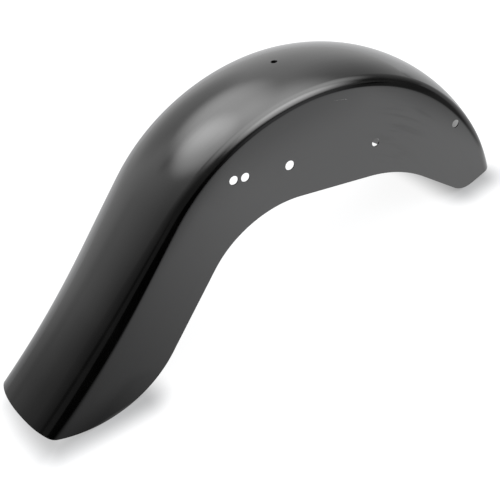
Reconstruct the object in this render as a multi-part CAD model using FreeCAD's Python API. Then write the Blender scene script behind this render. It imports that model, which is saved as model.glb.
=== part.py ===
import FreeCAD, Part
import math
import os

# Motorcycle rear fender: one pressed sheet with a domed crown, rolled shoulders and flat sides.
# It is drawn in the frame of the wheel: X forward, Y to the left, Z up, origin at the centre of
# the arc over the tyre. Angles along the crown count from straight up, positive to the rear.
# At the end it is turned to stand on its front corners and on the sweep of its tail.
# All sizes are in millimetres and degrees.

# Sheet
sheet_thickness = 1.6

# Crown line, from front to tail: front arc, wheel arc, straight run, flipped-up tail
crown_radius = 355.0
front_radius = 336.0
front_arc_angle = -5.0
rear_angle = 55.5
straight_run = 106.0
flip_radius = 2006.0
flip_angle = 6.9

# Cross-section over the wheel and at the tail lip
wheel_width = 176.4
wheel_dome = 20.0
wheel_shoulder_radius = 17.0
tail_width = 159.2
tail_dome = 27.2
tail_shoulder_radius = 41.5
taper_angle = 31.0

# Side outline: straight edge along the struts, then the edges to the front and to the tail
strut_edge_height = 178.1
strut_edge_front = 54.7
strut_edge_rear = -67.5
front_drop_radius = 215.0
front_drop_angle = 29.1
front_corner_x = 244.5
front_corner_radius = 39.0
front_edge_slope = 27.0
rear_arch_radius = 163.0
rear_arch_angle = 59.9
tail_sweep_radius = 175.0
tail_corner_radius = 28.0
tail_lip_depth = 34.0

# Bolt holes: the strut holes go through both sides, the seat bolt hole through the crown
strut_hole_height = 231.4
strut_pair_front_x = -159.8
strut_pair_spacing = 18.2
strut_pair_diameter = 13.4
middle_hole_x = -87.8
middle_hole_diameter = 14.6
front_strut_hole_x = 61.1
nose_hole_x = 213.3
nose_hole_height = 226.7
front_hole_diameter = 12.7
seat_hole_angle = 9.8
seat_hole_diameter = 9.5

# Spare sheet past the trimmed edges, and reach of the cutting shapes past the sheet
trim_allowance = 30.0
tool_reach = 60.0

# Fineness of the tapering surface and of its slopes, and when two places count as one
station_spacing = 36.0
slope_step = 0.01
same_place = 0.01


def at(x, z, y=0.0):
    """A point from its place in the side view and its distance to the left."""
    return FreeCAD.Vector(x, y, z)


def outward(angle):
    """Unit vector square to the crown, at an angle counted from straight up to the rear."""
    turn = math.radians(angle)
    return at(-math.sin(turn), math.cos(turn))


def rearward(angle):
    """Unit vector along the crown towards the tail, where outward() has the same angle."""
    turn = math.radians(angle)
    return at(-math.cos(turn), -math.sin(turn))


def ease(share):
    """Smooth step from 0 to 1, with no jump in slope or curvature at its ends."""
    share = min(max(share, 0.0), 1.0)
    return share ** 3 * (10.0 - 15.0 * share + 6.0 * share ** 2)


# Places on the crown line where its arcs and its straight run meet
front_arc_centre = outward(front_arc_angle) * (crown_radius - front_radius)
wheel_arc_end = outward(rear_angle) * crown_radius
flip_start = wheel_arc_end + rearward(rear_angle) * straight_run
flip_centre = flip_start + outward(rear_angle) * flip_radius
lip_angle = rear_angle - flip_angle
lip_top = flip_centre - outward(lip_angle) * flip_radius
wheel_arc_length = crown_radius * math.radians(rear_angle - front_arc_angle)
flip_length = flip_radius * math.radians(flip_angle)
tail_length = wheel_arc_length + straight_run + flip_length
taper_start = crown_radius * math.radians(taper_angle - front_arc_angle)


def crown_point(distance):
    """Point on the crown line and its outward angle, at a distance from the front arc's start."""
    if distance < 0.0:
        angle = front_arc_angle + math.degrees(distance / front_radius)
        return front_arc_centre + outward(angle) * front_radius, angle
    if distance < wheel_arc_length:
        angle = front_arc_angle + math.degrees(distance / crown_radius)
        return outward(angle) * crown_radius, angle
    along = distance - wheel_arc_length
    if along < straight_run:
        return wheel_arc_end + rearward(rear_angle) * along, rear_angle
    angle = rear_angle - math.degrees((along - straight_run) / flip_radius)
    return flip_centre - outward(angle) * flip_radius, angle


def section_strips(distance):
    """Strips of the sheet's closed outline, cut square to the crown line.

    Each strip is a line or an arc, given by its control points and their weights.
    """
    top, angle = crown_point(distance)
    normal = outward(angle)
    share = ease((distance - taper_start) / (tail_length - taper_start))
    half = (wheel_width + (tail_width - wheel_width) * share) / 2.0
    dome = wheel_dome + (tail_dome - wheel_dome) * share
    shoulder = wheel_shoulder_radius + (tail_shoulder_radius - wheel_shoulder_radius) * share
    dome_radius = (half * half + dome * dome) / (2.0 * dome)
    shoulder_y = half - shoulder
    shoulder_turn = math.asin(shoulder_y / (dome_radius - shoulder))
    shoulder_z = (dome_radius - shoulder) * math.cos(shoulder_turn) - dome_radius
    side_end = strut_edge_height - crown_radius - trim_allowance
    side_turn = math.pi / 2.0

    def place(y, z):
        return top + normal * z + at(0.0, 0.0, y)

    def line(y_start, z_start, y_end, z_end):
        return [(place(y_start, z_start), 1.0), (place(y_end, z_end), 1.0)]

    def arc(y, z, radius, start, end):
        weight = math.cos((end - start) / 2.0)
        peak = ((start + end) / 2.0, radius / weight, weight)
        controls = [(start, radius, 1.0), peak, (end, radius, 1.0)]
        return [(place(y + r * math.sin(turn), z + r * math.cos(turn)), w) for turn, r, w in controls]

    def skin(inset):
        """One face of the sheet, from its right side over the crown to its left side."""
        side = half - inset
        bend = shoulder - inset
        return [
            line(-side, side_end, -side, shoulder_z),
            arc(-shoulder_y, shoulder_z, bend, -side_turn, -shoulder_turn),
            arc(0.0, -dome_radius, dome_radius - inset, -shoulder_turn, shoulder_turn),
            arc(shoulder_y, shoulder_z, bend, shoulder_turn, side_turn),
            line(side, shoulder_z, side, side_end),
        ]

    left_foot = line(half, side_end, half - sheet_thickness, side_end)
    right_foot = line(-half, side_end, sheet_thickness - half, side_end)
    return skin(0.0) + [left_foot] + skin(sheet_thickness) + [right_foot]


def section_edges(distance):
    """The section's strips as edges."""
    edges = []
    for controls in section_strips(distance):
        start = controls[0][0]
        end = controls[-1][0]
        if len(controls) == 2:
            edges.append(Part.makeLine(start, end))
        else:
            peak, weight = controls[1]
            middle = (start + peak * (2.0 * weight) + end) / (2.0 + 2.0 * weight)
            edges.append(Part.Arc(start, middle, end).toShape())
    return edges


def end_cap(distance):
    """Flat face that closes the sheet at one end."""
    return Part.Face(Part.Wire(Part.sortEdges(section_edges(distance))[0]))


def turned_strips(centre, angle):
    """Faces that the section at the front arc's start sweeps as it turns about a centre."""
    return [edge.revolve(centre, at(0.0, 0.0, 1.0), angle) for edge in section_edges(0.0)]


def smooth_curve(moving_point, distances):
    """Cubic curve through a point that moves with the distance along the crown line."""
    slopes = []
    for distance in (distances[0], distances[-1]):
        slopes.append(moving_point(distance + slope_step) - moving_point(distance - slope_step))
    curve = Part.BSplineCurve()
    points = [moving_point(distance) for distance in distances]
    curve.interpolate(Points=points, Parameters=distances, InitialTangent=slopes[0], FinalTangent=slopes[1])
    return curve


def tapered_strip(strip, distances):
    """Face of the tapering tail whose sections are the lines or arcs of one strip."""

    def scaled_point(distance):
        point, weight = section_strips(distance)[strip][column]
        return point * weight

    def scale(distance):
        return at(section_strips(distance)[strip][column][1], distance)

    poles = []
    weights = []
    degree = len(section_strips(distances[0])[strip]) - 1
    for column in range(degree + 1):
        curve = smooth_curve(scaled_point, distances)
        weights.append([pole.x for pole in smooth_curve(scale, distances).getPoles()])
        poles.append([pole / weight for pole, weight in zip(curve.getPoles(), weights[-1])])
    surface = Part.BSplineSurface()
    surface.buildFromPolesMultsKnots(
        poles, [degree + 1] * 2, curve.getMultiplicities(), [0.0, 1.0], curve.getKnots(),
        False, False, degree, curve.Degree, weights)
    return surface.toShape()


def front_edge_line():
    """Corner where the dropped edge meets the front edge, and the front edge's direction."""
    drop = math.radians(front_drop_angle)
    drop_end_x = strut_edge_front + front_drop_radius * math.sin(drop)
    drop_end_z = strut_edge_height - front_drop_radius * (1.0 - math.cos(drop))
    corner = at(front_corner_x, drop_end_z - (front_corner_x - drop_end_x) * math.tan(drop))
    slope = math.radians(front_edge_slope)
    return corner, at(math.cos(slope), math.sin(slope))


def front_corner_circle():
    """Centre of the rounding of the front corner."""
    corner, edge = front_edge_line()
    half_turn = math.radians(front_drop_angle + front_edge_slope) / 2.0
    tangent = corner + edge * (front_corner_radius * math.tan(half_turn))
    return tangent + at(-edge.z, edge.x) * front_corner_radius


def tail_corner_circle():
    """Centre of the rounding between the lip of the tail and its lower edge."""
    below = lip_top - outward(lip_angle) * tail_lip_depth
    return below - rearward(lip_angle) * tail_corner_radius


def rear_arch_circle():
    """Centre of the arched edge behind the struts."""
    return at(strut_edge_rear, strut_edge_height - rear_arch_radius)


def tail_sweep_circle():
    """Centre of the swept lower edge, which runs from the straight rear edge into the tail's corner."""
    corner = tail_corner_circle()
    normal = outward(rear_arch_angle)
    edge_height = (corner - rear_arch_circle()).dot(normal) - rear_arch_radius
    rise = tail_sweep_radius - edge_height
    inside = tail_sweep_radius - tail_corner_radius
    return corner + normal * rise - rearward(rear_arch_angle) * math.sqrt(inside ** 2 - rise ** 2)


def crown_front_distance():
    """Distance along the crown line at which the front edge crosses it, by halving."""
    corner, edge = front_edge_line()
    near = 0.0
    far = -front_radius * math.pi / 2.0
    while near - far > same_place:
        middle = (near + far) / 2.0
        gap = crown_point(middle)[0] - corner
        if edge.x * gap.z - edge.z * gap.x > 0.0:
            near = middle
        else:
            far = middle
    return near


def arc_edge(centre, radius, start, end):
    """Arc whose ends lie at two outward angles from its centre."""
    angles = (start, (start + end) / 2.0, end)
    return Part.Arc(*[centre + outward(angle) * radius for angle in angles]).toShape()


def joined(edges):
    """Closed wire through a row of edges, with straight lines where they don't meet."""
    chain = []
    for edge, following in zip(edges, edges[1:] + edges[:1]):
        chain.append(edge)
        start = edge.valueAt(edge.LastParameter)
        end = following.valueAt(following.FirstParameter)
        if not end.isEqual(start, same_place):
            chain.append(Part.makeLine(start, end))
    return Part.Wire(chain)


def side_outline():
    """Trimmed shape of the fender in the side view, closed by lines well outside the crown."""
    corner, edge = front_edge_line()
    sweep = tail_sweep_circle()
    tail_corner = tail_corner_circle()
    drop = at(strut_edge_front, strut_edge_height - front_drop_radius)
    sweep_end = 180.0 + math.degrees(math.atan2(tail_corner.x - sweep.x, sweep.z - tail_corner.z))
    front_turn = (front_edge_slope - 180.0, -front_drop_angle - 180.0)
    outside = crown_radius + tool_reach
    lip_out = lip_top + outward(lip_angle) * tool_reach
    front_out = corner + edge * ((outside - corner.x) / edge.x)
    return joined([
        arc_edge(front_corner_circle(), front_corner_radius, *front_turn),
        arc_edge(drop, front_drop_radius, -front_drop_angle, 0.0),
        arc_edge(rear_arch_circle(), rear_arch_radius, 0.0, rear_arch_angle),
        arc_edge(sweep, tail_sweep_radius, 180.0 + rear_arch_angle, sweep_end),
        arc_edge(tail_corner, tail_corner_radius, sweep_end, lip_angle + 90.0),
        Part.makeLine(lip_out, at(lip_out.x, outside)),
        Part.makeLine(at(front_out.x, outside), front_out),
    ])


def sheet_blank():
    """The formed sheet before its edges are trimmed."""
    start = crown_front_distance() - trim_allowance
    end = tail_length + trim_allowance
    count = round((end - taper_start) / station_spacing)
    distances = [taper_start + (end - taper_start) * index / count for index in range(count + 1)]
    faces = turned_strips(front_arc_centre, math.degrees(-start / front_radius))
    faces += turned_strips(at(0.0, 0.0), front_arc_angle - taper_angle)
    faces += [tapered_strip(strip, distances) for strip in range(len(section_strips(start)))]
    faces += [end_cap(start), end_cap(end)]
    sheet = Part.makeCompound(faces)
    sheet.sewShape()
    return Part.Solid(sheet.Shells[0]).removeSplitter()


def side_hole(x, z, diameter):
    """Drill through both sides."""
    length = wheel_width + tool_reach
    return Part.makeCylinder(diameter / 2.0, length, at(x, z, -length / 2.0), at(0.0, 0.0, 1.0))


def seat_hole():
    """Drill through the crown, square to it."""
    normal = outward(seat_hole_angle)
    start = normal * (crown_radius - tool_reach / 2.0)
    return Part.makeCylinder(seat_hole_diameter / 2.0, tool_reach, start, normal)


def fender():
    """The trimmed and drilled sheet, in the frame of the wheel."""
    width = wheel_width + tool_reach
    outline = side_outline()
    outline.translate(at(0.0, 0.0, -width / 2.0))
    blank = sheet_blank().common(Part.Face(outline).extrude(at(0.0, 0.0, width)))
    drills = [
        side_hole(strut_pair_front_x, strut_hole_height, strut_pair_diameter),
        side_hole(strut_pair_front_x - strut_pair_spacing, strut_hole_height, strut_pair_diameter),
        side_hole(middle_hole_x, strut_hole_height, middle_hole_diameter),
        side_hole(front_strut_hole_x, strut_hole_height, front_hole_diameter),
        side_hole(nose_hole_x, nose_hole_height, front_hole_diameter),
        seat_hole(),
    ]
    return blank.cut(drills).Solids[0]


def standing(shape):
    """Turn the fender onto its front corners and tail sweep, with the origin under its middle."""
    front = front_corner_circle()
    span = front - tail_sweep_circle()
    lean = math.asin((front_corner_radius - tail_sweep_radius) / span.Length)
    tilt = math.atan2(span.z, span.x) - lean
    shape.rotate(at(0.0, 0.0), at(0.0, 0.0, 1.0), math.degrees(tilt))
    box = shape.optimalBoundingBox(False)
    shape.translate(at(-(box.XMin + box.XMax) / 2.0, -box.ZMin))
    return shape


os.makedirs("parts", exist_ok=True)
rear_fender = standing(fender())
rear_fender.exportStep("parts/rear_fender.step")
print("rear_fender", "valid" if rear_fender.isValid() else "not valid", round(rear_fender.Volume), "mm3")
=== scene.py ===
# %% [markdown]
# # A motorcycle rear fender
# The fender is one pressed steel sheet: a domed crown over the tyre, rolled shoulders, flat sides
# and a tail that flips up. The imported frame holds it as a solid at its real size. Here the same
# form is modelled again as an even mesh of four-sided faces, because a glossy black coat shows
# every uneven facet, and then it gets its coat, its studio and its camera.

# %% Load the frame
from math import asin, atan2, cos, degrees, radians, sin, sqrt, tan

import bpy
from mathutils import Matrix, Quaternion, Vector


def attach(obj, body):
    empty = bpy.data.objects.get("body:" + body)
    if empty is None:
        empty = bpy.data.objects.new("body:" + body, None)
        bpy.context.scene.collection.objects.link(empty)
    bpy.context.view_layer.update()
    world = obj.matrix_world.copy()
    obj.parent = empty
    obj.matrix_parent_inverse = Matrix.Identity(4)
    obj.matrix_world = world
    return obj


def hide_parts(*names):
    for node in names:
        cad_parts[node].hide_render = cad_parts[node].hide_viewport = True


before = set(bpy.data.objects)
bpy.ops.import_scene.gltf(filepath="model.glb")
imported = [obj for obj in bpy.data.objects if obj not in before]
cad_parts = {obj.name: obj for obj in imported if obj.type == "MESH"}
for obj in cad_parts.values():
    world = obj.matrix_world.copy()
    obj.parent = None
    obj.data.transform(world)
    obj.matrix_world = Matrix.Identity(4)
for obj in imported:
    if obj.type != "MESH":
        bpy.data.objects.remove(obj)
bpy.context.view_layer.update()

NODE = "rear_fender"


def rounded(place):
    """Coordinates to a tenth of a millimetre, for the printed lines."""
    return [round(coordinate, 4) for coordinate in place]


# %% [markdown]
# ## The measures
# A fender is drawn around its wheel, so the modelling starts in the wheel's own frame: the arc of
# the crown is centred on the origin, X points forward and Z up. Angles along the crown count from
# straight up, positive to the rear. All lengths are in metres.

# %% Sheet and crown line
SHEET = 0.0016
CROWN_RADIUS = 0.355
FRONT_RADIUS = 0.336
FRONT_ARC_ANGLE = -5.0
FRONT_BLANK_ANGLE = -74.0
REAR_ANGLE = 55.5
STRAIGHT_RUN = 0.106
FLIP_RADIUS = 2.006
FLIP_ANGLE = 6.9
TAPER_ANGLE = 31.0


def at(x, z, y=0.0):
    """A point from its place in the side view."""
    return Vector((x, y, z))


def outward(angle):
    """Direction square to the crown at an angle from straight up."""
    return at(-sin(radians(angle)), cos(radians(angle)))


def rearward(angle):
    """Direction along the crown towards the tail."""
    return at(-cos(radians(angle)), -sin(radians(angle)))


wheel_centre = at(0.0, 0.0)
front_centre = outward(FRONT_ARC_ANGLE) * (CROWN_RADIUS - FRONT_RADIUS)
flip_start = outward(REAR_ANGLE) * CROWN_RADIUS + rearward(REAR_ANGLE) * STRAIGHT_RUN
flip_centre = flip_start + outward(REAR_ANGLE) * FLIP_RADIUS
lip_angle = REAR_ANGLE - FLIP_ANGLE
lip_top = flip_centre - outward(lip_angle) * FLIP_RADIUS
taper_on_arc = CROWN_RADIUS * radians(REAR_ANGLE - TAPER_ANGLE)
taper_length = taper_on_arc + STRAIGHT_RUN + FLIP_RADIUS * radians(FLIP_ANGLE)
print("tail lip at", rounded(lip_top), "taper over", round(taper_length, 4), "m")

# %% [markdown]
# ## Half of the section
# Cut across, the sheet is a shallow dome, a tight shoulder and a flat side. The fender is the same
# left and right, so only the right half is drawn. A single vertex at the top is spun about the
# dome's centre, its end is spun about the shoulder's centre, and the last vertex is extruded down
# the side. Spinning a vertex draws a true arc, which a bevelled corner would only come close to.

# %% Tools for drawing with one vertex
SIDE_AXIS = (0.0, -1.0, 0.0)
ALONG_AXIS = (1.0, 0.0, 0.0)


def single_vertex(name, place):
    """A new object in edit mode whose only vertex is selected."""
    bpy.ops.object.select_all(action="DESELECT")
    bpy.ops.mesh.primitive_plane_add(size=SHEET, location=place)
    bpy.ops.object.transform_apply(location=True)
    piece = bpy.context.object
    piece.name = name
    bpy.ops.object.mode_set(mode="EDIT")
    bpy.ops.mesh.select_mode(type="VERT")
    bpy.ops.mesh.select_all(action="SELECT")
    bpy.ops.mesh.merge(type="CENTER")
    return piece


def spin(angle, steps, centre, axis):
    """Sweep what is selected about an axis. The operator turns clockwise, hence the minus."""
    bpy.ops.mesh.spin(steps=steps, angle=-radians(angle), center=centre, axis=axis)


def extrude(move):
    """Pull what is selected along a straight move."""
    bpy.ops.mesh.extrude_region_move(TRANSFORM_OT_translate={"value": move})


def turn_selected(angle, centre):
    """Turn what is selected in the side view."""
    bpy.ops.transform.rotate(value=radians(angle), orient_axis="Y", center_override=centre)


print("drawing tools ready")

# %% Draw the half section
DOME_STEPS = 12
SHOULDER_STEPS = 14
SUPPORT_ROW = 0.003
SIDE_ROWS = 14
SIDE_ROW = 0.0115


def half_section(name, half_width, dome, shoulder):
    """The right half of the section, standing on the top of the wheel arc."""
    dome_radius = (half_width ** 2 + dome ** 2) / (2.0 * dome)
    shoulder_y = half_width - shoulder
    turn = degrees(asin(shoulder_y / (dome_radius - shoulder)))
    shoulder_z = CROWN_RADIUS - dome_radius + (dome_radius - shoulder) * cos(radians(turn))
    piece = single_vertex(name, at(0.0, CROWN_RADIUS))
    spin(turn, DOME_STEPS, at(0.0, CROWN_RADIUS - dome_radius), ALONG_AXIS)
    spin(90.0 - turn, SHOULDER_STEPS, at(0.0, shoulder_z, -shoulder_y), ALONG_AXIS)
    extrude(at(0.0, -SUPPORT_ROW))
    for _ in range(SIDE_ROWS):
        extrude(at(0.0, -SIDE_ROW))
    piece.update_from_editmode()
    print(name, "section:", len(piece.data.vertices), "vertices, dome radius", round(dome_radius, 4))
    return piece


print("faces across the half section:", DOME_STEPS + SHOULDER_STEPS + 1 + SIDE_ROWS)

# %% [markdown]
# ## Sweep the section along the crown
# The section is first turned to the front end. From there it is spun back along the front arc and
# the wheel arc, extruded along the straight run, and spun the other way for the flip of the tail.
# After every step the newest section stays selected, so one step follows the other. On the way each
# new section is given a weight that grows smoothly from 0 where the taper starts to 1 at the lip.

# %% Sweep one skin
FRONT_STEPS = 46
WHEEL_STEPS = 40
RUN_STEPS = 10
FLIP_STEPS = 26
SPARE_ANGLE = 0.6


def ease(share):
    """Smooth step from 0 to 1 that starts and ends without a bend."""
    share = min(max(share, 0.0), 1.0)
    return share ** 3 * (10.0 - 15.0 * share + 6.0 * share ** 2)


def weigh(distance):
    """Give the selected section its share of the tail's form."""
    bpy.context.scene.tool_settings.vertex_group_weight = ease(distance / taper_length)
    bpy.ops.object.vertex_group_assign()


def sweep(piece):
    """Carry the half section from the front end to a little past the lip of the tail."""
    piece.vertex_groups.new(name="tail")
    bpy.ops.mesh.select_all(action="SELECT")
    turn_selected(FRONT_ARC_ANGLE, wheel_centre)
    turn_selected(FRONT_BLANK_ANGLE - FRONT_ARC_ANGLE, front_centre)
    weigh(0.0)
    spin(FRONT_ARC_ANGLE - FRONT_BLANK_ANGLE, FRONT_STEPS, front_centre, SIDE_AXIS)
    distance = CROWN_RADIUS * radians(FRONT_ARC_ANGLE - TAPER_ANGLE)
    step = (REAR_ANGLE - FRONT_ARC_ANGLE) / WHEEL_STEPS
    for _ in range(WHEEL_STEPS):
        spin(step, 1, wheel_centre, SIDE_AXIS)
        distance += CROWN_RADIUS * radians(step)
        weigh(distance)
    for _ in range(RUN_STEPS):
        extrude(rearward(REAR_ANGLE) * (STRAIGHT_RUN / RUN_STEPS))
        distance += STRAIGHT_RUN / RUN_STEPS
        weigh(distance)
    step = (FLIP_ANGLE + SPARE_ANGLE) / FLIP_STEPS
    for _ in range(FLIP_STEPS):
        spin(-step, 1, flip_centre, SIDE_AXIS)
        distance += FLIP_RADIUS * radians(step)
        weigh(distance)
    bpy.ops.object.mode_set(mode="OBJECT")
    print(piece.name, "skin:", len(piece.data.vertices), "vertices")


print("faces along the crown:", FRONT_STEPS + WHEEL_STEPS + RUN_STEPS + FLIP_STEPS)

# %% [markdown]
# ## Blend the wheel's form into the tail's
# Towards its lip the fender grows narrower, rounder and softer in the shoulder. Two skins are swept
# along the same line, one with the section over the wheel and one with the section at the lip. They
# have the same vertices in the same order, so the second can be a shape key of the first, and the
# weights say how much of it shows. That keeps the rows of faces even all the way to the lip.

# %% Two skins and a shape key
WHEEL_SECTION = {"half_width": 0.0882, "dome": 0.020, "shoulder": 0.017}
TAIL_SECTION = {"half_width": 0.0796, "dome": 0.0272, "shoulder": 0.0415}

skin = half_section("fender_skin", **WHEEL_SECTION)
sweep(skin)
tail_form = half_section("tail_form", **TAIL_SECTION)
sweep(tail_form)

bpy.ops.object.select_all(action="DESELECT")
tail_form.select_set(True)
skin.select_set(True)
bpy.context.view_layer.objects.active = skin
bpy.ops.object.join_shapes()
tail_key = skin.data.shape_keys.key_blocks[-1]
tail_key.vertex_group = "tail"
tail_key.value = 1.0
skin.active_shape_key_index = len(skin.data.shape_keys.key_blocks) - 1
bpy.ops.object.shape_key_remove(all=True, apply_mix=True)
skin.select_set(False)
bpy.ops.object.delete()
skin.vertex_groups.clear()
print("blended skin:", len(skin.data.polygons), "faces")

# %% [markdown]
# ## Mirror and thicken
# The Mirror modifier makes the left half and joins it along the middle of the crown. The faces are
# turned outwards before Solidify gives the sheet its thickness on the inside.

# %% Close the sheet
SEAM_WIDTH = 0.00001


def select_only(piece):
    """Make one piece the active object and the only selected one."""
    bpy.ops.object.select_all(action="DESELECT")
    piece.select_set(True)
    bpy.context.view_layer.objects.active = piece


def edit_all(piece):
    """Open one piece in edit mode with all of it selected."""
    select_only(piece)
    bpy.ops.object.mode_set(mode="EDIT")
    bpy.ops.mesh.select_all(action="SELECT")


def apply_modifier(piece, kind, **settings):
    """Add one modifier with its settings and apply it."""
    select_only(piece)
    modifier = piece.modifiers.new(kind.title(), kind)
    for name, value in settings.items():
        setattr(modifier, name, value)
    bpy.ops.object.modifier_apply(modifier=modifier.name)


apply_modifier(skin, "MIRROR", use_axis=(False, True, False), merge_threshold=SEAM_WIDTH)
edit_all(skin)
bpy.ops.mesh.normals_make_consistent(inside=False)
bpy.ops.object.mode_set(mode="OBJECT")
crown_face = max(skin.data.polygons, key=lambda face: face.center.z)
print("crown faces point", "up" if crown_face.normal.z > 0.0 else "down")
apply_modifier(skin, "SOLIDIFY", thickness=SHEET, offset=-1.0, use_even_offset=True)
print("sheet:", len(skin.data.polygons), "faces")

# %% [markdown]
# ## Trim the edges
# A press trims the formed sheet with one cut through both sides. The cut is drawn in the side view
# by pulling and spinning a single vertex again: round the front corner, along the dropped edge and
# the strut edge, over the rear arch, and along the swept edge of the tail to its lip. The outline
# is filled, pulled across the width, and what lies inside it is kept by a Boolean.

# %% Places on the trimmed outline
STRUT_EDGE_HEIGHT = 0.1781
STRUT_EDGE_FRONT = 0.0547
STRUT_EDGE_REAR = -0.0675
FRONT_DROP_RADIUS = 0.215
FRONT_DROP_ANGLE = 29.1
FRONT_CORNER_X = 0.2445
FRONT_CORNER_RADIUS = 0.039
FRONT_EDGE_SLOPE = 27.0
REAR_ARCH_RADIUS = 0.163
REAR_ARCH_ANGLE = 59.9
TAIL_SWEEP_RADIUS = 0.175
TAIL_CORNER_RADIUS = 0.028
TAIL_LIP_DEPTH = 0.034

drop_centre = at(STRUT_EDGE_FRONT, STRUT_EDGE_HEIGHT - FRONT_DROP_RADIUS)
arch_centre = at(STRUT_EDGE_REAR, STRUT_EDGE_HEIGHT - REAR_ARCH_RADIUS)
drop_end = drop_centre + outward(-FRONT_DROP_ANGLE) * FRONT_DROP_RADIUS
corner_drop = (FRONT_CORNER_X - drop_end.x) * tan(radians(FRONT_DROP_ANGLE))
front_corner = at(FRONT_CORNER_X, drop_end.z - corner_drop)
front_edge = -rearward(FRONT_EDGE_SLOPE)
half_turn = radians(FRONT_DROP_ANGLE + FRONT_EDGE_SLOPE) / 2.0
front_tangent = front_corner + front_edge * (FRONT_CORNER_RADIUS * tan(half_turn))
corner_centre = front_tangent + outward(FRONT_EDGE_SLOPE) * FRONT_CORNER_RADIUS

tail_corner = lip_top - outward(lip_angle) * TAIL_LIP_DEPTH - rearward(lip_angle) * TAIL_CORNER_RADIUS
arch_to_corner = (tail_corner - arch_centre).dot(outward(REAR_ARCH_ANGLE))
rise = TAIL_SWEEP_RADIUS + REAR_ARCH_RADIUS - arch_to_corner
inside = TAIL_SWEEP_RADIUS - TAIL_CORNER_RADIUS
sweep_back = sqrt(inside ** 2 - rise ** 2)
sweep_centre = tail_corner + outward(REAR_ARCH_ANGLE) * rise - rearward(REAR_ARCH_ANGLE) * sweep_back
sweep_end = 180.0 + degrees(atan2(tail_corner.x - sweep_centre.x, sweep_centre.z - tail_corner.z))
print("front corner centre", rounded(corner_centre), "sweep centre", rounded(sweep_centre))

# %% Cut along the outline
ARC_STEP = 2.0
CUT_REACH = 0.06
CUT_WIDTH = 0.24

outline_arcs = [
    (corner_centre, FRONT_CORNER_RADIUS, FRONT_EDGE_SLOPE - 180.0, -180.0 - FRONT_DROP_ANGLE),
    (drop_centre, FRONT_DROP_RADIUS, -FRONT_DROP_ANGLE, 0.0),
    (arch_centre, REAR_ARCH_RADIUS, 0.0, REAR_ARCH_ANGLE),
    (sweep_centre, TAIL_SWEEP_RADIUS, 180.0 + REAR_ARCH_ANGLE, sweep_end),
    (tail_corner, TAIL_CORNER_RADIUS, sweep_end, lip_angle + 90.0),
]
near_side = at(0.0, 0.0, -CUT_WIDTH / 2.0)
over_crown = CROWN_RADIUS + CUT_REACH
tip = front_corner + front_edge * ((over_crown - front_corner.x) / front_edge.x)
lip_out = lip_top + outward(lip_angle) * CUT_REACH
closing_points = [lip_out, at(lip_out.x, over_crown), at(tip.x, over_crown)]

trim = single_vertex("trim_cut", tip + near_side)
for centre, radius, start, end in outline_arcs:
    arc_start = centre + outward(start) * radius
    if (arc_start - tip).length > SHEET:
        extrude(arc_start - tip)
    spin(end - start, max(1, round(abs(end - start) / ARC_STEP)), centre + near_side, SIDE_AXIS)
    tip = centre + outward(end) * radius
for point in closing_points:
    extrude(point - tip)
    tip = point
bpy.ops.mesh.select_all(action="SELECT")
bpy.ops.mesh.edge_face_add()
extrude(at(0.0, 0.0, CUT_WIDTH))
bpy.ops.mesh.select_all(action="SELECT")
bpy.ops.mesh.normals_make_consistent(inside=False)
bpy.ops.object.mode_set(mode="OBJECT")
print("trim outline:", len(trim.data.vertices) // 2, "points")

apply_modifier(skin, "BOOLEAN", operation="INTERSECT", solver="EXACT", object=trim)
bpy.data.objects.remove(trim)
print("trimmed sheet:", len(skin.data.polygons), "faces")

# %% [markdown]
# ## Drill the holes
# Five bolt holes go through each side and one small hole through the crown. Each drill is a round
# cylinder that passes through the sheet, and all are taken away in one Boolean.

# %% Drill
STRUT_HOLE_HEIGHT = 0.2314
SIDE_HOLES = {
    "rear_pair_front": (at(-0.1598, STRUT_HOLE_HEIGHT), 0.0134),
    "rear_pair_back": (at(-0.1780, STRUT_HOLE_HEIGHT), 0.0134),
    "middle": (at(-0.0878, STRUT_HOLE_HEIGHT), 0.0146),
    "front_strut": (at(0.0611, STRUT_HOLE_HEIGHT), 0.0127),
    "nose": (at(0.2133, 0.2267), 0.0127),
}
SEAT_HOLE_ANGLE = 9.8
SEAT_HOLE_DIAMETER = 0.0095
DRILL_SIDES = 64


def drill(place, rotation, diameter, depth):
    """A cylinder that passes through the sheet."""
    bpy.ops.mesh.primitive_cylinder_add(
        vertices=DRILL_SIDES, radius=diameter / 2.0, depth=depth, location=place, rotation=rotation)
    return bpy.context.object


seat_place = outward(SEAT_HOLE_ANGLE) * CROWN_RADIUS
through_sides = (radians(90.0), 0.0, 0.0)
through_crown = (0.0, -radians(SEAT_HOLE_ANGLE), 0.0)
bpy.ops.object.select_all(action="DESELECT")
drills = [drill(place, through_sides, diameter, CUT_WIDTH) for place, diameter in SIDE_HOLES.values()]
drills.append(drill(seat_place, through_crown, SEAT_HOLE_DIAMETER, CUT_REACH))
for piece in drills:
    piece.select_set(True)
bpy.ops.object.join()
cutter = bpy.context.object
apply_modifier(skin, "BOOLEAN", operation="DIFFERENCE", solver="EXACT", object=cutter)
bpy.data.objects.remove(cutter)
print("drilled sheet:", len(skin.data.polygons), "faces")

# %% [markdown]
# ## Break the sharp edges
# A coated edge is never razor sharp: paint rounds it, and the rounding catches a thin line of light.
# Vertices that the cuts left very close together are merged first, so that the bevel has room. The
# Weighted Normal modifier then lets the large faces set the shading, because the cut faces along the
# edges would else take on the tilt of the tiny bevel faces beside them and show as teeth.

# %% Bevel and smooth
MERGE_DISTANCE = 0.0004
EDGE_ROUNDING = 0.00035
EDGE_SEGMENTS = 2
BEVEL_FROM_ANGLE = 45.0
SMOOTH_TO_ANGLE = 40.0

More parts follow.
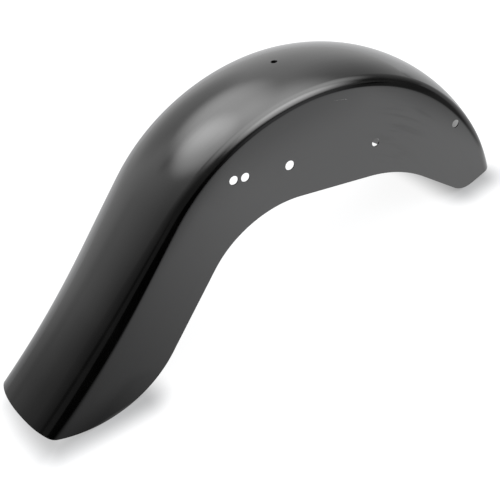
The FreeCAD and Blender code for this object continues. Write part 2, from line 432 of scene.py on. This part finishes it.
edit_all(skin)
bpy.ops.mesh.remove_doubles(threshold=MERGE_DISTANCE)
bpy.ops.object.mode_set(mode="OBJECT")
apply_modifier(
    skin, "BEVEL", width=EDGE_ROUNDING, segments=EDGE_SEGMENTS, limit_method="ANGLE",
    angle_limit=radians(BEVEL_FROM_ANGLE))
bpy.ops.object.shade_smooth_by_angle(angle=radians(SMOOTH_TO_ANGLE))
apply_modifier(skin, "WEIGHTED_NORMAL", mode="FACE_AREA", keep_sharp=True)
print("finished sheet:", len(skin.data.polygons), "faces")

# %% [markdown]
# ## Stand it on the floor
# Off the motorcycle the fender stands on its front corners and on the sweep of its tail. The mesh is
# turned and moved to where the frame's solid stands, and it takes that solid's place.

# %% Turn and move
REST_TILT = 18.462
REST_MOVE = at(0.078169, -0.023416)
MILLIMETRES = 1000.0

edit_all(skin)
turn_selected(-REST_TILT, wheel_centre)
bpy.ops.transform.translate(value=REST_MOVE)
bpy.ops.object.mode_set(mode="OBJECT")

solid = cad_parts[NODE]
gaps = []
for vertex in skin.data.vertices:
    spot = solid.closest_point_on_mesh(vertex.co)[1]
    gaps.append((vertex.co - spot).length * MILLIMETRES)
mean_gap = sum(gaps) / len(gaps)
print("gap to the frame's solid: mean", round(mean_gap, 3), "mm, most", round(max(gaps), 3), "mm")
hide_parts(NODE)
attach(skin, "root")

# %% [markdown]
# ## Tools for materials
# A material is a tree of nodes. These helpers add one node each, so that the trees below read like
# short sums: feeding a socket, a sum of two numbers, a sum of two vectors, the parts of a vector, a
# soft step between two limits, which is what most masks are made of, and a mix of two numbers or
# colours. The chain carries one operation through a row of numbers, such as a product of masks.

# %% Node tools
NUMBER_OPERATIONS = ("DOT_PRODUCT", "DISTANCE", "LENGTH")


def feed(tree, socket, value):
    """Link a socket to another one, or set it to a plain value."""
    if isinstance(value, bpy.types.NodeSocket):
        tree.links.new(value, socket)
    else:
        socket.default_value = value


def new_node(tree, kind, **values):
    """A node with the named sockets fed. An underscore stands for a space."""
    node = tree.nodes.new(kind)
    for name, value in values.items():
        feed(tree, node.inputs[name.replace("_", " ")], value)
    return node


def number(tree, operation, first, second=0.0):
    """The result of a Math node."""
    node = tree.nodes.new("ShaderNodeMath")
    node.operation = operation
    feed(tree, node.inputs[0], first)
    feed(tree, node.inputs[1], second)
    return node.outputs["Value"]


def chain(tree, operation, first, *others):
    """One Math operation carried through several values."""
    for other in others:
        first = number(tree, operation, first, other)
    return first


def vector(tree, operation, first, second=(0.0, 0.0, 0.0)):
    """The result of a Vector Math node."""
    node = tree.nodes.new("ShaderNodeVectorMath")
    node.operation = operation
    feed(tree, node.inputs[0], first)
    feed(tree, node.inputs[1], second)
    return node.outputs["Value" if operation in NUMBER_OPERATIONS else "Vector"]


def split(tree, place):
    """The X, Y and Z of a vector."""
    return new_node(tree, "ShaderNodeSeparateXYZ", Vector=place).outputs


def soft_step(tree, value, low, high, at_low, at_high):
    """A smooth step of a value between two limits."""
    node = new_node(
        tree, "ShaderNodeMapRange", From_Min=low, From_Max=high, To_Min=at_low, To_Max=at_high)
    node.interpolation_type = "SMOOTHSTEP"
    feed(tree, node.inputs["Value"], value)
    return node.outputs["Result"]


def mix(tree, kind, share, first, second):
    """Two numbers (FLOAT) or colours (RGBA), mixed by the share of the second."""
    node = tree.nodes.new("ShaderNodeMix")
    node.data_type = kind
    sockets = [socket for socket in node.inputs if socket.enabled]
    for socket, value in zip(sockets, (share, first, second)):
        feed(tree, socket, value)
    return next(socket for socket in node.outputs if socket.enabled)


def noise(tree, place, stretch, detail, distortion=0.0):
    """A noise with so many spots to a metre in each direction."""
    stretched = vector(tree, "MULTIPLY", place, stretch)
    node = new_node(
        tree, "ShaderNodeTexNoise", Vector=stretched, Scale=1.0, Detail=detail, Distortion=distortion)
    return node.outputs["Fac"]


print("node tools ready")

# %% [markdown]
# ## Places on the sheet
# The coat's marks run lengthwise, the way a cloth wipes a fender. A noise on plain coordinates would
# cut straight through the curve, so each point is counted along the crown first: by its angle on the
# arc of the wheel, and by its distance on the straight tail. The second number goes across, and the
# third is the distance from the wheel's centre, or from its line along the tail.

# %% Sheet coordinates
SIDE_VIEW = (1.0, 0.0, 1.0)
tail_turn = REAR_ANGLE - REST_TILT
arc_length = CROWN_RADIUS * radians(tail_turn)


def sheet_coordinates(tree):
    """Distance along the crown, across it, and out from the wheel, as one vector."""
    place = tree.nodes.new("ShaderNodeTexCoord").outputs["Object"]
    from_wheel = vector(tree, "SUBTRACT", place, REST_MOVE)
    parts = split(tree, from_wheel)
    turn = number(tree, "ARCTAN2", number(tree, "MULTIPLY", parts["X"], -1.0), parts["Z"])
    radius = vector(tree, "LENGTH", vector(tree, "MULTIPLY", from_wheel, SIDE_VIEW))
    past_arc = vector(tree, "DOT_PRODUCT", from_wheel, rearward(tail_turn))
    above_line = vector(tree, "DOT_PRODUCT", from_wheel, outward(tail_turn))
    on_tail = number(tree, "GREATER_THAN", past_arc, 0.0)
    along_arc = number(tree, "MULTIPLY", turn, CROWN_RADIUS)
    along_tail = number(tree, "ADD", past_arc, arc_length)
    along = mix(tree, "FLOAT", on_tail, along_arc, along_tail)
    out = mix(tree, "FLOAT", on_tail, radius, above_line)
    return new_node(tree, "ShaderNodeCombineXYZ", X=along, Y=parts["Y"], Z=out).outputs["Vector"]


print("the arc ends", round(arc_length, 4), "m behind the wheel's top")

# %% [markdown]
# ## The coat
# Fenders like this are sold in a black dip primer, a thin hard paint with a soft gloss. Nearly all
# that is seen on it is reflection, so its colour stays close to black and the work goes into how it
# mirrors: a base that mirrors softly under a clearer skin. Wiping streaks and a soft oval spot on the
# crown dull the skin, and towards the lip of the tail the skin is thinned as painted shade in its
# reflection. A fine orange peel breaks up the base, a thin haze of dust lightens it in places, and on
# the side one scratch shows the pale primer below.

# %% Streaks and a dim spot
STREAK_STRETCH = (9.0, 170.0, 170.0)
STREAK_DETAIL = 3.0
STREAK_WAVES = 0.6
STREAK_BAND = (0.50, 0.72)
STREAK_PLACE = (-0.262, -0.0882, 0.271)
STREAK_REACH = (0.02, 0.09)
STREAK_ELSEWHERE = 0.2
DIM_SPOT_PLACE = (0.1665, -0.0280, 0.0)
DIM_SPOT_STRETCH = (44.0, 93.0, 0.0)


def streaks(tree, sheet):
    """Long wavy streaks, strongest on one spot of the side."""
    waves = noise(tree, sheet, STREAK_STRETCH, STREAK_DETAIL, STREAK_WAVES)
    mask = soft_step(tree, waves, *STREAK_BAND, 0.0, 1.0)
    away = vector(tree, "DISTANCE", sheet, STREAK_PLACE)
    near_spot = soft_step(tree, away, *STREAK_REACH, 1.0, STREAK_ELSEWHERE)
    return number(tree, "MULTIPLY", mask, near_spot)


def dim_spot(tree, sheet):
    """A soft oval spot on the crown."""
    away = vector(tree, "SUBTRACT", sheet, DIM_SPOT_PLACE)
    oval = vector(tree, "LENGTH", vector(tree, "MULTIPLY", away, DIM_SPOT_STRETCH))
    return soft_step(tree, oval, 0.0, 1.0, 1.0, 0.0)


print("streaks around", STREAK_PLACE, "and a smudge at", DIM_SPOT_PLACE[:2], "on the sheet")

# %% A scratch and painted shade at the lip
SCRATCH_PLACE = (-0.1083, 0.0, 0.3118)
SCRATCH_SLOPE = 0.103
SCRATCH_LENGTH = 0.030
SCRATCH_WIDTH = 0.0010
SCRATCH_GRAIN = (260.0, 0.0, 0.0)
GRAIN_DETAIL = 1.0
GRAIN_BAND = (0.45, 0.60)
FAINTEST = 0.1
NEAR_SIDE_Y = -0.086
LIP_FADE = (0.36, 0.54)
LIP_WIDTH = (0.036, 0.066)
LIP_DEPTH = 0.95


def scratch(tree, sheet):
    """A thin broken line on the near side."""
    parts = split(tree, vector(tree, "SUBTRACT", sheet, SCRATCH_PLACE))
    slope = number(tree, "MULTIPLY", parts["X"], SCRATCH_SLOPE)
    off_line = number(tree, "ABSOLUTE", number(tree, "SUBTRACT", parts["Z"], slope))
    off_middle = number(tree, "ABSOLUTE", parts["X"])
    line = soft_step(tree, off_line, SCRATCH_WIDTH / 4.0, SCRATCH_WIDTH / 2.0, 1.0, 0.0)
    ends = soft_step(tree, off_middle, SCRATCH_LENGTH / 3.0, SCRATCH_LENGTH / 2.0, 1.0, 0.0)
    grain = noise(tree, sheet, SCRATCH_GRAIN, GRAIN_DETAIL)
    breaks = soft_step(tree, grain, *GRAIN_BAND, FAINTEST, 1.0)
    on_near_side = number(tree, "LESS_THAN", parts["Y"], NEAR_SIDE_Y)
    return chain(tree, "MULTIPLY", line, ends, breaks, on_near_side)


def painted_lip_shade(tree, sheet):
    """Painted shade in the crown's skin, which fades towards the lip of the tail."""
    parts = split(tree, sheet)
    mask = soft_step(tree, parts["X"], *LIP_FADE, 0.0, LIP_DEPTH)
    off_middle = number(tree, "ABSOLUTE", parts["Y"])
    return number(tree, "MULTIPLY", mask, soft_step(tree, off_middle, *LIP_WIDTH, 1.0, 0.0))


print("a scratch of", SCRATCH_LENGTH, "m, and a lip that is duller from", LIP_FADE[0], "m on")

# %% Black coat
BLACK = (0.0018, 0.0018, 0.0017, 1.0)
DUST = (0.0042, 0.0041, 0.0038, 1.0)
PRIMER = (0.30, 0.30, 0.29, 1.0)
CLOUD_STRETCH = (14.0, 14.0, 14.0)
CLOUD_DETAIL = 4.0
DUST_BAND = (0.40, 0.70)
ROUGH_BAND = (0.30, 0.70)
SMOOTHEST = 0.12
ROUGHEST = 0.17
STREAK_DEPTH = 0.24
STREAK_ROUGHNESS = 0.04
DIM_SPOT_DEPTH = 0.48
PEEL_STRETCH = (420.0, 420.0, 420.0)
PEEL_DETAIL = 2.0
PEEL_HEIGHT = 0.000015
BASE_MIRROR = 1.0
SKIN_ROUGHNESS = 0.08
SKIN_IOR = 1.6

coat = bpy.data.materials.new("black_coat")
coat.use_nodes = True
tree = coat.node_tree
shader = tree.nodes["Principled BSDF"]
sheet = sheet_coordinates(tree)
wiped = streaks(tree, sheet)
cloud = noise(tree, sheet, CLOUD_STRETCH, CLOUD_DETAIL)

colour = mix(tree, "RGBA", soft_step(tree, cloud, *DUST_BAND, 0.0, 1.0), BLACK, DUST)
feed(tree, shader.inputs["Base Color"], mix(tree, "RGBA", scratch(tree, sheet), colour, PRIMER))

rough = soft_step(tree, cloud, *ROUGH_BAND, SMOOTHEST, ROUGHEST)
rough = number(tree, "ADD", rough, number(tree, "MULTIPLY", wiped, STREAK_ROUGHNESS))
feed(tree, shader.inputs["Roughness"], rough)

streak_loss = number(tree, "MULTIPLY", wiped, STREAK_DEPTH)
# A soft oval spot on the crown dims the skin there.
dim_spot_loss = number(tree, "MULTIPLY", dim_spot(tree, sheet), DIM_SPOT_DEPTH)
# Towards the lip of the tail the skin's weight drops as painted shade in its reflection.
skin_weight = chain(tree, "SUBTRACT", 1.0, streak_loss, dim_spot_loss, painted_lip_shade(tree, sheet))
feed(tree, shader.inputs["Coat Weight"], number(tree, "MAXIMUM", skin_weight, 0.0))

peel_noise = noise(tree, sheet, PEEL_STRETCH, PEEL_DETAIL)
peel = new_node(tree, "ShaderNodeBump", Distance=PEEL_HEIGHT, Height=peel_noise)
feed(tree, shader.inputs["Normal"], peel.outputs["Normal"])
shader.inputs["Specular IOR Level"].default_value = BASE_MIRROR
shader.inputs["Coat Roughness"].default_value = SKIN_ROUGHNESS
shader.inputs["Coat IOR"].default_value = SKIN_IOR
skin.data.materials.clear()
skin.data.materials.append(coat)
print("coat:", len(tree.nodes), "nodes, roughness from", SMOOTHEST, "to", ROUGHEST)

# %% [markdown]
# ## The floor
# The fender stands on white paper. The paper itself is drawn as a dim grey, and the rest of its
# white is added as light in its material. Only the camera, a mirror or glass finds that light, and
# it lights nothing else. It fades near the lines where the fender comes down, and so leaves soft
# contact shadows: along the lower edge of the tail, below its lip, which hangs a little above the
# paper, at the front corners and between them under the nose. The lines are given for one side and
# folded over to the other.

# %% Contact shadows
TOUCH_DOWNS = {
    "tail": ((-0.394, 0.073, 0.017), (-0.262, 0.086, 0.0)),
    "lip": ((-0.405, 0.0, 0.019), (-0.402, 0.063, 0.019)),
    "front": ((0.345, 0.089, 0.0), (0.378, 0.089, 0.0)),
    "nose": ((0.345, 0.0, 0.0), (0.345, 0.085, 0.0)),
}
SHADOW_WIDTH = 0.055
ALONG_FLOOR = (1.0, 0.0, 0.0)
ACROSS_FLOOR = (0.0, 1.0, 0.0)
FAR_AWAY = 1.0


def open_floor(tree, place):
    """From 0 on a line where the fender comes down to 1 away from all of them, left and right."""
    folded = vector(tree, "MULTIPLY", vector(tree, "ABSOLUTE", place), ACROSS_FLOOR)
    folded = vector(tree, "ADD", folded, vector(tree, "MULTIPLY", place, ALONG_FLOOR))
    nearest = FAR_AWAY
    for start, end in TOUCH_DOWNS.values():
        run = Vector(end) - Vector(start)
        from_start = vector(tree, "SUBTRACT", folded, start)
        share = number(tree, "DIVIDE", vector(tree, "DOT_PRODUCT", from_start, run), run.length_squared)
        share = number(tree, "MINIMUM", number(tree, "MAXIMUM", share, 0.0), 1.0)
        on_line = new_node(tree, "ShaderNodeCombineXYZ", X=share, Y=share, Z=share).outputs["Vector"]
        on_line = vector(tree, "MULTIPLY", on_line, run)
        nearest = number(tree, "MINIMUM", vector(tree, "DISTANCE", from_start, on_line), nearest)
    return soft_step(tree, nearest, 0.0, SHADOW_WIDTH, 0.0, 1.0)


print("contact shadows at", ", ".join(TOUCH_DOWNS), "on both sides")

# %% White paper
FLOOR_SIZE = 60.0
PAPER = (0.195, 0.20, 0.21, 1.0)
SHADOW_FILL = 0.36
FLOOR_FILL = 0.93
MIRRORED_SHADE = (-0.37, -0.19)

bpy.ops.object.select_all(action="DESELECT")
bpy.ops.mesh.primitive_plane_add(size=FLOOR_SIZE)
floor = bpy.context.object
floor.name = "studio_floor"

paper = bpy.data.materials.new("white_paper")
paper.use_nodes = True
tree = paper.node_tree
tree.nodes.clear()
rays = tree.nodes.new("ShaderNodeLightPath").outputs
mirror_ray = rays["Is Glossy Ray"]
place = tree.nodes.new("ShaderNodeTexCoord").outputs["Object"]
parts = split(tree, place)
seen = chain(tree, "MAXIMUM", rays["Is Camera Ray"], mirror_ray, rays["Is Transmission Ray"])
past_lip = soft_step(tree, parts["X"], *MIRRORED_SHADE, 0.0, 1.0)
unshaded = number(tree, "MULTIPLY", mirror_ray, past_lip)
unshaded = number(tree, "MAXIMUM", open_floor(tree, place), unshaded)
fill = mix(tree, "FLOAT", unshaded, SHADOW_FILL, FLOOR_FILL)
glow = new_node(tree, "ShaderNodeEmission", Strength=number(tree, "MULTIPLY", seen, fill))
matt = new_node(tree, "ShaderNodeBsdfDiffuse", Color=PAPER)
lit = tree.nodes.new("ShaderNodeAddShader")
tree.links.new(matt.outputs["BSDF"], lit.inputs[0])
tree.links.new(glow.outputs["Emission"], lit.inputs[1])
print("floor:", FLOOR_SIZE, "m wide, shadows", SHADOW_WIDTH, "m wide")

# %% [markdown]
# ## What the coat mirrors
# In a mirror-like coat an endless white floor would look milky. A studio has lit sheets that end in
# the dark, so a ray that comes off the coat finds the paper black except on four such sheets. The
# side of the fender mirrors a sheet in front of it, which ends along a slanting edge and on the
# right and grows dimmer towards the tail. The crown and the far rim mirror a floor behind that fades
# to the left and to the right. A dim strip runs off to the front, and the white paper below the
# fender lights up its inside, which shows through the holes.

# %% Sheet in front
SLANT = (0.604, 0.797, 0.0)
SLANT_EDGE = (-0.37, -0.305)
TAIL_FADE = (-0.42, 0.14)
TAIL_REST = 0.25
RIGHT_END = (0.42, 0.55)
RIGHT_REST = 0.10
FRONT_FADE = (-0.56, -0.38)
FRONT_REST = 0.68
BACK_END = (0.0, 0.12)

in_front = chain(
    tree, "MULTIPLY",
    soft_step(tree, vector(tree, "DOT_PRODUCT", place, SLANT), *SLANT_EDGE, 0.0, 1.0),
    soft_step(tree, parts["X"], *TAIL_FADE, TAIL_REST, 1.0),
    soft_step(tree, parts["X"], *RIGHT_END, 1.0, RIGHT_REST),
    soft_step(tree, parts["Y"], *FRONT_FADE, FRONT_REST, 1.0),
    soft_step(tree, parts["Y"], *BACK_END, 1.0, 0.0))
print("sheet in front: down to", TAIL_REST, "at the tail and", RIGHT_REST, "on the right")

# %% Floor behind
BEHIND_SLANT = (0.25, 1.0, 0.0)
BEHIND_EDGE = (-0.15, 0.05)
BEHIND_LEVEL = 0.85
BEHIND_RIGHT = (1.0, -1.8, 0.0)
BEHIND_RIGHT_FADE = (-0.2, 1.3)
BEHIND_RIGHT_REST = 0.35
BEHIND_LEFT_FADE = (-1.0, 0.4)
BEHIND_LEFT_REST = 0.76

to_back = vector(tree, "DOT_PRODUCT", place, BEHIND_SLANT)
to_right = vector(tree, "DOT_PRODUCT", place, BEHIND_RIGHT)
behind = chain(
    tree, "MULTIPLY",
    soft_step(tree, to_back, *BEHIND_EDGE, 0.0, BEHIND_LEVEL),
    soft_step(tree, to_right, *BEHIND_RIGHT_FADE, 1.0, BEHIND_RIGHT_REST),
    soft_step(tree, parts["X"], *BEHIND_LEFT_FADE, BEHIND_LEFT_REST, 1.0))
print("floor behind: a level of", BEHIND_LEVEL, "in the middle")

# %% Strip and paper below
STRIP_ALONG = (0.42, -0.907, 0.0)
STRIP_ACROSS = (0.907, 0.42, 0.0)
STRIP_START = (0.5, 1.0)
STRIP_SPREAD = (0.05, 0.35)
STRIP_LEVEL = 0.3
UNDER_LENGTH = (0.41, 0.44)
UNDER_WIDTH = (0.075, 0.090)
UNDER_LEVEL = 1.4

along = vector(tree, "DOT_PRODUCT", place, STRIP_ALONG)
across = number(tree, "ABSOLUTE", vector(tree, "DOT_PRODUCT", place, STRIP_ACROSS))
strip = chain(
    tree, "MULTIPLY",
    soft_step(tree, number(tree, "DIVIDE", across, along), *STRIP_SPREAD, STRIP_LEVEL, 0.0),
    soft_step(tree, along, *STRIP_START, 0.0, 1.0))
under = chain(
    tree, "MULTIPLY",
    soft_step(tree, number(tree, "ABSOLUTE", parts["X"]), *UNDER_LENGTH, UNDER_LEVEL, 0.0),
    soft_step(tree, number(tree, "ABSOLUTE", parts["Y"]), *UNDER_WIDTH, 1.0, 0.0))
print("strip: a level of", STRIP_LEVEL, "from", STRIP_START[0], "m on")

# %% Finish the floor
MIRROR_LEVEL = 0.68
BLACK_FLOOR = (0.0, 0.0, 0.0, 1.0)

mirrored = chain(tree, "MAXIMUM", in_front, behind, strip, under)
mirrored = number(tree, "MULTIPLY", mirrored, MIRROR_LEVEL)
hidden = number(tree, "MULTIPLY", mirror_ray, number(tree, "SUBTRACT", 1.0, mirrored))
dark = new_node(tree, "ShaderNodeBsdfDiffuse", Color=BLACK_FLOOR)
surface = new_node(tree, "ShaderNodeMixShader", Fac=hidden)
tree.links.new(lit.outputs["Shader"], surface.inputs[1])
tree.links.new(dark.outputs["BSDF"], surface.inputs[2])
new_node(tree, "ShaderNodeOutputMaterial", Surface=surface.outputs["Shader"])
floor.data.materials.append(paper)
print("paper:", len(tree.nodes), "nodes")

# %% [markdown]
# ## The light
# Soft boxes, a scrim overhead and pale walls are all far larger than the fender and softly edged in
# its coat. So the room is painted straight into the world: each light is a round glow at a compass
# angle, counted from the far side to the front of the motorcycle, and a height, both in degrees,
# with a width and a strength. A flag is a glow of negative strength, as a black card on a stand takes
# light away. The two boxes behind make the broad highlight on the crown, the scrim and the front box
# light the shoulder, the walls draw the bright rim, and the flags give the dark lines that show
# where the sheet turns. Together they light an upward face at about its own colour. The camera
# itself sees the room as plain white, like the paper.

# %% Room
ROOM_LEVEL = 0.07
DARKEST = 0.01
LIGHT_SCALE = 0.82
WHITE = (1.0, 1.0, 1.0, 1.0)
WHITE_LEVEL = 1.0
GLOWS = {
    "back_box": (6.0, 57.0, 26.0, 1.42),
    "left_box": (-27.0, 65.0, 20.0, 1.55),
    "front_box": (152.0, 32.0, 29.0, 2.15),
    "scrim": (125.0, 63.0, 46.0, 2.05),
    "back_wall": (49.0, 28.0, 120.0, 0.70),
    "left_wall": (-85.0, 38.0, 50.0, 0.05),
    "tail_wall": (-46.0, 25.0, 36.0, 0.08),
    "right_flag": (97.0, 18.0, 51.0, -0.52),
    "back_flag": (2.0, 24.0, 22.0, -0.22),
    "left_flag": (-38.0, 19.0, 8.0, -0.05),
    "camera_flag": (-137.0, 18.0, 9.0, -0.04),
}


def heading(azimuth, elevation):
    """A direction from its compass angle, counted from +Y towards +X, and its height."""
    level = cos(radians(elevation))
    to_right = level * sin(radians(azimuth))
    to_back = level * cos(radians(azimuth))
    return Vector((to_right, to_back, sin(radians(elevation))))


world = bpy.data.worlds.new("studio_room")
bpy.context.scene.world = world
world.use_nodes = True
tree = world.node_tree
direction = tree.nodes.new("ShaderNodeTexCoord").outputs["Generated"]
strength = ROOM_LEVEL
for azimuth, elevation, width, peak in GLOWS.values():
    facing = vector(tree, "DOT_PRODUCT", direction, heading(azimuth, elevation))
    light = soft_step(tree, facing, cos(radians(width)), 1.0, 0.0, peak)
    strength = number(tree, "ADD", light, strength)
strength = number(tree, "MAXIMUM", strength, DARKEST)
strength = number(tree, "MULTIPLY", strength, LIGHT_SCALE)
to_camera = tree.nodes.new("ShaderNodeLightPath").outputs["Is Camera Ray"]
strength = mix(tree, "FLOAT", to_camera, strength, WHITE_LEVEL)
feed(tree, tree.nodes["Background"].inputs["Strength"], strength)
feed(tree, tree.nodes["Background"].inputs["Color"], WHITE)
print("room:", len(GLOWS), "glows")

# %% [markdown]
# ## The camera
# The photo looks down on the fender from its right and slightly from behind, and the picture is
# turned so that the fender seems to lean forward. The camera aims at a point inside the arch, from a
# compass angle and a height, with a roll, and a longer lens keeps the perspective gentle.

# %% Camera
CAMERA_TARGET = at(0.00056, 0.05854)
CAMERA_DISTANCE = 1.542
CAMERA_AZIMUTH = 19.25
CAMERA_ELEVATION = 38.73
CAMERA_ROLL = -20.36
CAMERA_LENS = 72.0
CAMERA_SENSOR = 36.0
VIEW_AXIS = (0.0, 0.0, 1.0)

forward = heading(CAMERA_AZIMUTH, -CAMERA_ELEVATION)
roll = Quaternion(VIEW_AXIS, radians(CAMERA_ROLL))
bpy.ops.object.camera_add(location=CAMERA_TARGET - forward * CAMERA_DISTANCE)
camera = bpy.context.object
camera.rotation_mode = "QUATERNION"
camera.rotation_quaternion = forward.to_track_quat("-Z", "Y") @ roll
camera.data.sensor_width = CAMERA_SENSOR
camera.data.lens = CAMERA_LENS
bpy.context.scene.camera = camera
bpy.context.scene.view_settings.view_transform = "Standard"
print("camera at", rounded(camera.location))
